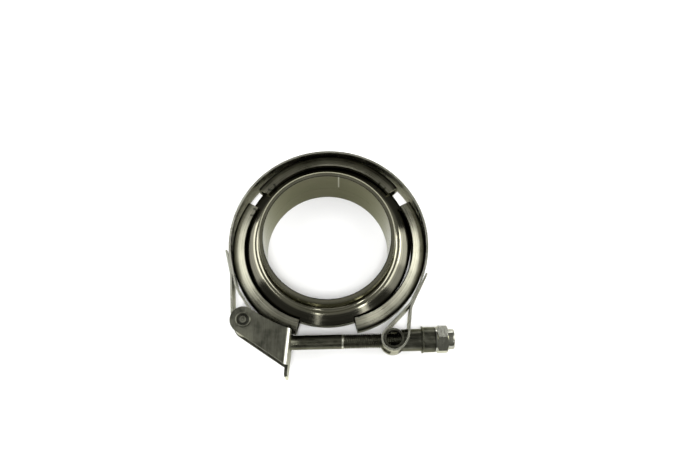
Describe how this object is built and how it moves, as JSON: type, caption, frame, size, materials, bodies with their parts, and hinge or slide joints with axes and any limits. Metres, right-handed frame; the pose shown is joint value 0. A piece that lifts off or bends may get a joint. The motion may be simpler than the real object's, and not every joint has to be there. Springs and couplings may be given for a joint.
{
  "type": "v band clamp",
  "caption": "Quick-release V-band clamp round a coned flange pair: a T-bolt draws the strap's channels tight and a swinging latch hooks the bolt's head.",
  "frame": {"origin": "centre of the pipe bore, in the plane where the two flanges meet", "axes": "+Z along the pipe, out of the upper flange; +X from the latch towards the nut; the bolt lies on the -Y side"},
  "size_m": [0.1148, 0.1175, 0.032],
  "materials": {
    "strap_steel": "satin stainless",
    "channel_steel": "satin stainless",
    "flange_steel": "satin stainless",
    "latch_steel": "satin stainless",
    "rivet_steel": "satin stainless",
    "bolt_steel": "satin stainless",
    "trunnion_steel": "satin stainless",
    "nut_steel": "satin stainless",
    "insert_nylon": "matt nylon"
  },
  "bodies": {
    "band": {"strap": "strap_steel", "v_segment_top": "channel_steel", "v_segment_left": "channel_steel", "v_segment_right": "channel_steel", "flange_upper": "flange_steel", "flange_lower": "flange_steel", "latch_bush": "rivet_steel"},
    "latch": {"latch_plate": "latch_steel", "latch_rivet": "rivet_steel"},
    "trunnion": {"trunnion": "trunnion_steel", "sleeve": "trunnion_steel", "collar": "trunnion_steel"},
    "bolt": {"t_bolt": "bolt_steel"},
    "nut": {"lock_nut": "nut_steel", "nut_insert": "insert_nylon"}
  },
  "joints": [
    {"name": "latch_swing", "type": "hinge", "parent": "band", "child": "latch", "pos_m": [-0.0411, -0.0405, -0.00049], "axis": [0, 0, 1], "range_deg": [-165, 0]},
    {"name": "trunnion_swing", "type": "hinge", "parent": "band", "child": "trunnion", "pos_m": [0.033, -0.04929, -0.00049], "axis": [0, 0, 1], "range_deg": [0, 21.5]},
    {"name": "nut_spin", "type": "hinge", "parent": "trunnion", "child": "nut", "pos_m": [0.033, -0.04929, -0.00049], "axis": [0.9997, 0.0236, 0], "range_deg": [-1463, 0]},
    {"name": "bolt_slide", "type": "slide", "parent": "trunnion", "child": "bolt", "axis": [0.9997, 0.0236, 0], "range_m": [0, 0.0043]}
  ],
  "couplings": [
    {"joint": "trunnion_swing", "follows": "latch_swing", "ratio": -0.13},
    {"joint": "nut_spin", "follows": "bolt_slide", "rad_per_m": -5936.9}
  ]
}
